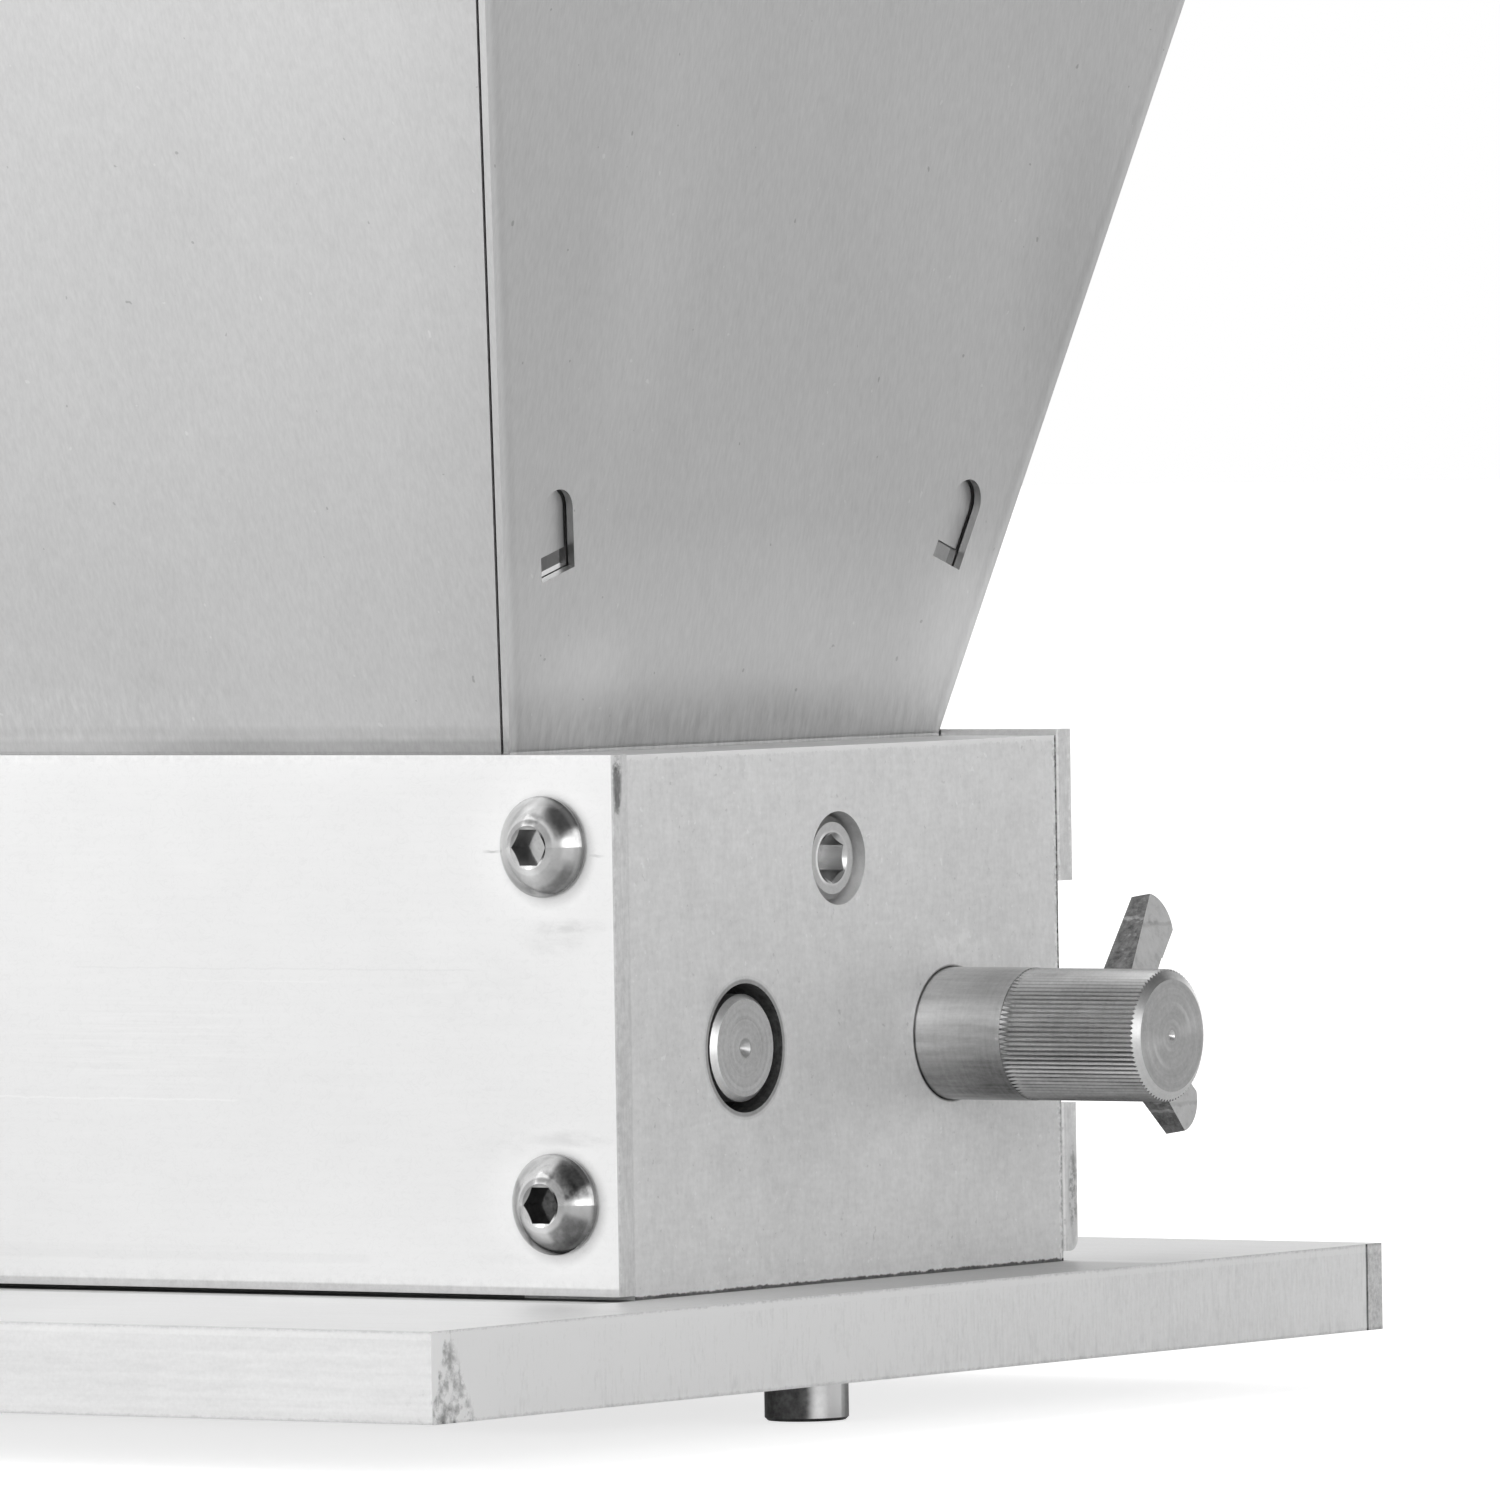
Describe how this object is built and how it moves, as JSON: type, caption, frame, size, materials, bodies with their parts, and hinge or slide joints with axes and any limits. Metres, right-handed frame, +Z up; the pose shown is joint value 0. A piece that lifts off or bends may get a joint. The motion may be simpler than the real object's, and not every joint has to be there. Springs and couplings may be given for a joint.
{
  "type": "grain mill",
  "caption": "Two-roller hand mill for malted grain: square base plate, boxed roller frame with knurled gap knobs and wing clamps, tall sheet hopper and crank.",
  "frame": {"origin": "centre of the discharge slot, in the plane of the base plate's underside", "axes": "+X along the rollers to the end without the crank, -Y to the front with the deeper ledge, +Z up"},
  "size_m": [0.3169, 0.2112, 0.2766],
  "materials": {
    "base_aluminium": "machined flat plate, sawn edges",
    "block_aluminium": "extruded bar, fine grain",
    "plate_aluminium": "mill finish sheet with light scratches",
    "hopper_sheet": "brushed sheet",
    "screw_steel": "bright plated screws",
    "bright_steel": "turned",
    "roller_steel": "knurled, oiled",
    "knob_steel": "turned, straight knurl",
    "wing_steel": "plated casting",
    "dark_steel": "blackened",
    "sintered_bronze": "oiled sintered bronze",
    "crank_zinc": "zinc plated",
    "grip_plastic": "moulded"
  },
  "bodies": {
    "frame": {"base_plate": "base_aluminium", "end_block_right": "block_aluminium", "end_block_left": "block_aluminium", "front_plate": "plate_aluminium", "rear_plate": "plate_aluminium", "front_plate_screws": "screw_steel", "rear_plate_screws": "screw_steel", "tie_rod": "bright_steel", "tie_rod_screws": "screw_steel", "base_screws": "screw_steel", "drive_bushing_right": "sintered_bronze", "drive_bushing_left": "sintered_bronze", "hopper_front_panel": "hopper_sheet", "hopper_rear_panel": "hopper_sheet", "hopper_right_panel": "hopper_sheet", "hopper_left_panel": "hopper_sheet"},
    "drive": {"drive_shaft": "bright_steel", "drive_roller": "roller_steel", "crank_arm": "crank_zinc", "crank_set_screw": "dark_steel", "grip_bolt": "bright_steel"},
    "grip": {"crank_grip": "grip_plastic"},
    "eccentric_right": {"adjuster_knob_right": "knob_steel"},
    "eccentric_left": {"adjuster_knob_left": "knob_steel"},
    "idler": {"idler_shaft": "bright_steel", "idler_roller": "roller_steel", "thrust_washers": "sintered_bronze"},
    "clamp_right": {"wing_screw_right": "wing_steel"},
    "clamp_left": {"wing_screw_left": "wing_steel"}
  },
  "joints": [
    {"name": "drive_spin", "type": "hinge", "parent": "frame", "child": "drive", "pos_m": [0, -0.02025, 0.0369], "axis": [1, 0, 0], "continuous": true},
    {"name": "grip_spin", "type": "hinge", "parent": "drive", "child": "grip", "pos_m": [-0.16, 0.08625, 0.00936], "axis": [1, 0, 0], "continuous": true},
    {"name": "gap_adjust", "type": "hinge", "parent": "frame", "child": "eccentric_right", "pos_m": [0.08, 0.02025, 0.0369], "axis": [1, 0, 0], "continuous": true},
    {"name": "gap_adjust_left", "type": "hinge", "parent": "frame", "child": "eccentric_left", "pos_m": [-0.08, 0.02025, 0.0369], "axis": [1, 0, 0], "continuous": true},
    {"name": "idler_spin", "type": "hinge", "parent": "eccentric_right", "child": "idler", "pos_m": [0, 0.01873, 0.0382], "axis": [1, 0, 0], "continuous": true},
    {"name": "clamp_right_turn", "type": "hinge", "parent": "frame", "child": "clamp_right", "pos_m": [0.071, 0.06, 0.0369], "axis": [0, 1, 0], "range_deg": [-85, 360]},
    {"name": "clamp_left_turn", "type": "hinge", "parent": "frame", "child": "clamp_left", "pos_m": [-0.071, 0.06, 0.0369], "axis": [0, 1, 0], "range_deg": [-85, 360]}
  ],
  "couplings": [
    {"joint": "gap_adjust_left", "follows": "gap_adjust", "ratio": 1}
  ]
}
